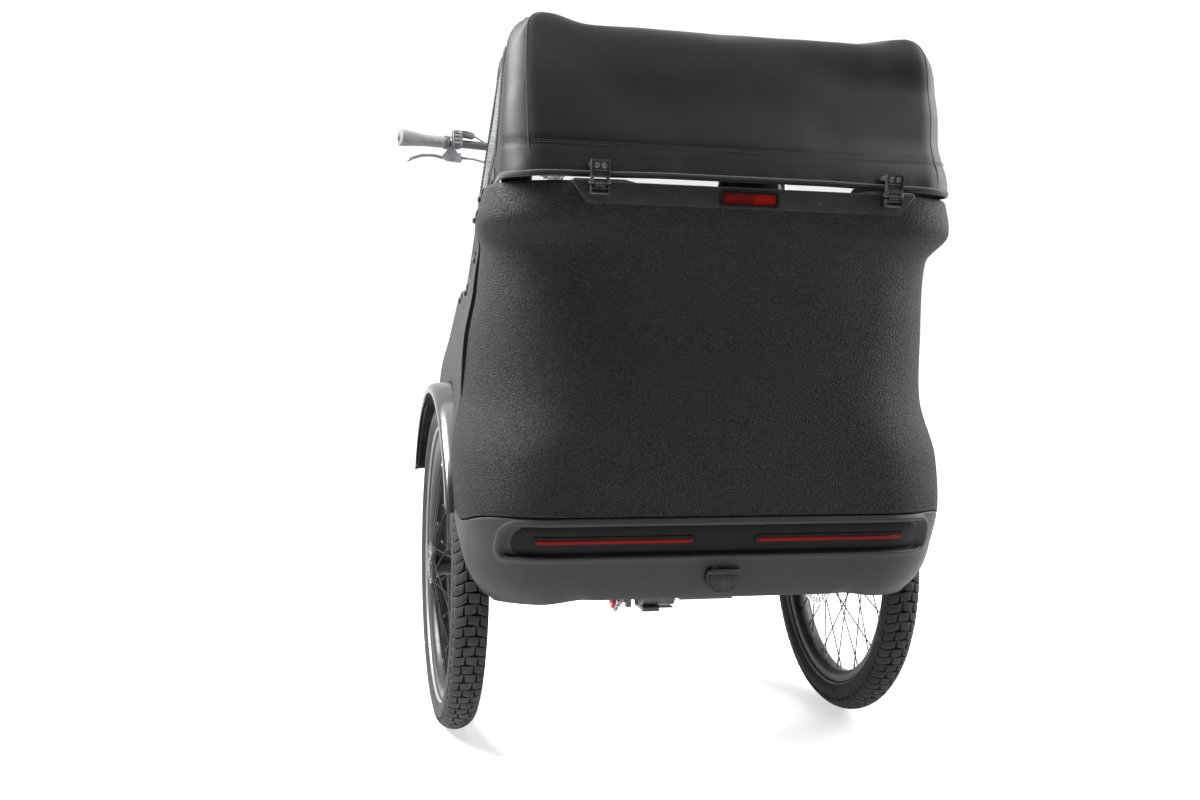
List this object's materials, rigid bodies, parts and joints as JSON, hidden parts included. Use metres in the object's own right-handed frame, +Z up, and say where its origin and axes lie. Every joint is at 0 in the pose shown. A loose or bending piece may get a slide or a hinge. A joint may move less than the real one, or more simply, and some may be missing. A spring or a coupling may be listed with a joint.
{
  "type": "electric cargo tricycle",
  "caption": "Family cargo tricycle with an electric drive, a hollow rear passenger box under a tilting fabric canopy, and a rider's front half that leans and steers.",
  "frame": {"origin": "on the ground under the middle of the whole vehicle", "axes": "+X to the rider's right, +Y forward, +Z up"},
  "size_m": [0.904, 2.3388, 1.3272],
  "materials": {
    "tyre": "matt black rubber with a pale sidewall line",
    "black_metal": "satin black coat",
    "steel": "brushed",
    "foam_shell": "grainy moulded bead foam",
    "side_plastic": "smooth satin grey",
    "black_plastic": "fine moulded grain",
    "gloss_black": "gloss",
    "red_lens": "clear red lens",
    "seat_fabric": "woven upholstery",
    "saddle_cover": "grained cover",
    "canopy_cloth": "coated woven cloth",
    "clear_window": "clear flexible sheet",
    "alloy_tube": "satin",
    "frame_paint": "satin paint",
    "grip_rubber": "ribbed rubber"
  },
  "bodies": {
    "rear_chassis": {"rear_subframe": "black_metal", "axle_housing": "black_metal", "brake_calipers": "black_metal", "drive_sprockets": "steel", "rear_chain": "steel", "box_rear_shell": "foam_shell", "rear_bumper": "side_plastic", "light_bar": "black_plastic", "tail_lights": "red_lens", "box_side_left": "side_plastic", "box_side_right": "side_plastic", "box_front_wall": "side_plastic", "box_floor": "black_plastic", "wheel_well_left": "foam_shell", "wheel_well_right": "foam_shell", "bench_board": "black_plastic", "bench_cushion": "seat_fabric", "bench_backrest": "seat_fabric", "fender_left": "gloss_black", "fender_right": "gloss_black", "rim_rail": "black_plastic", "rear_reflector": "red_lens", "hinge_brackets": "black_metal", "socket_cover": "black_plastic"},
    "canopy": {"canopy_fabric": "canopy_cloth", "canopy_windows": "clear_window", "canopy_frame": "alloy_tube", "hinge_plates": "black_metal"},
    "rear_left_wheel": {"rear_left_tyre": "tyre", "rear_left_wheel": "black_metal", "rear_left_disc": "steel"},
    "rear_right_wheel": {"rear_right_tyre": "tyre", "rear_right_wheel": "black_metal", "rear_right_disc": "steel"},
    "front_frame": {"main_frame": "frame_paint", "motor_unit": "black_plastic", "battery": "black_plastic", "chain_case": "black_plastic", "seat_post": "black_metal", "saddle": "saddle_cover"},
    "steering": {"fork": "frame_paint", "handlebar": "black_metal", "stem": "black_metal", "grips": "grip_rubber", "brake_levers": "black_metal", "brake_hoses": "black_plastic", "display": "black_plastic", "headlight": "black_plastic", "front_fender": "gloss_black", "front_caliper": "black_metal"},
    "front_wheel": {"front_tyre": "tyre", "front_wheel": "black_metal", "front_disc": "steel"},
    "crank": {"crank_set": "black_metal"},
    "left_pedal": {"left_pedal": "black_plastic"},
    "right_pedal": {"right_pedal": "black_plastic"}
  },
  "joints": [
    {"name": "canopy_tilt", "type": "hinge", "parent": "rear_chassis", "child": "canopy", "pos_m": [0, -1.165, 1.005], "axis": [1, 0, 0], "range_deg": [0, 95]},
    {"name": "rear_left_spin", "type": "hinge", "parent": "rear_chassis", "child": "rear_left_wheel", "pos_m": [-0.404, -0.645, 0.3145], "axis": [-1, 0, 0], "continuous": true},
    {"name": "rear_right_spin", "type": "hinge", "parent": "rear_chassis", "child": "rear_right_wheel", "pos_m": [0.404, -0.645, 0.3145], "axis": [-1, 0, 0], "continuous": true},
    {"name": "lean", "type": "hinge", "parent": "rear_chassis", "child": "front_frame", "pos_m": [0, -0.205, 0.33], "axis": [0, 1, 0], "range_deg": [-22, 22], "stiffness_Nm_per_rad": 400},
    {"name": "steer", "type": "hinge", "parent": "front_frame", "child": "steering", "pos_m": [0, 0.8036, 0.3145], "axis": [0, -0.3584, 0.9336], "range_deg": [-45, 45]},
    {"name": "front_spin", "type": "hinge", "parent": "steering", "child": "front_wheel", "pos_m": [0, 0.855, 0.3145], "axis": [-1, 0, 0], "continuous": true},
    {"name": "crank_spin", "type": "hinge", "parent": "front_frame", "child": "crank", "pos_m": [0, 0.215, 0.3], "axis": [-1, 0, 0], "continuous": true},
    {"name": "left_pedal_spin", "type": "hinge", "parent": "crank", "child": "left_pedal", "pos_m": [-0.154, 0.045, 0.3], "axis": [-1, 0, 0], "continuous": true},
    {"name": "right_pedal_spin", "type": "hinge", "parent": "crank", "child": "right_pedal", "pos_m": [0.154, 0.385, 0.3], "axis": [-1, 0, 0], "continuous": true}
  ]
}
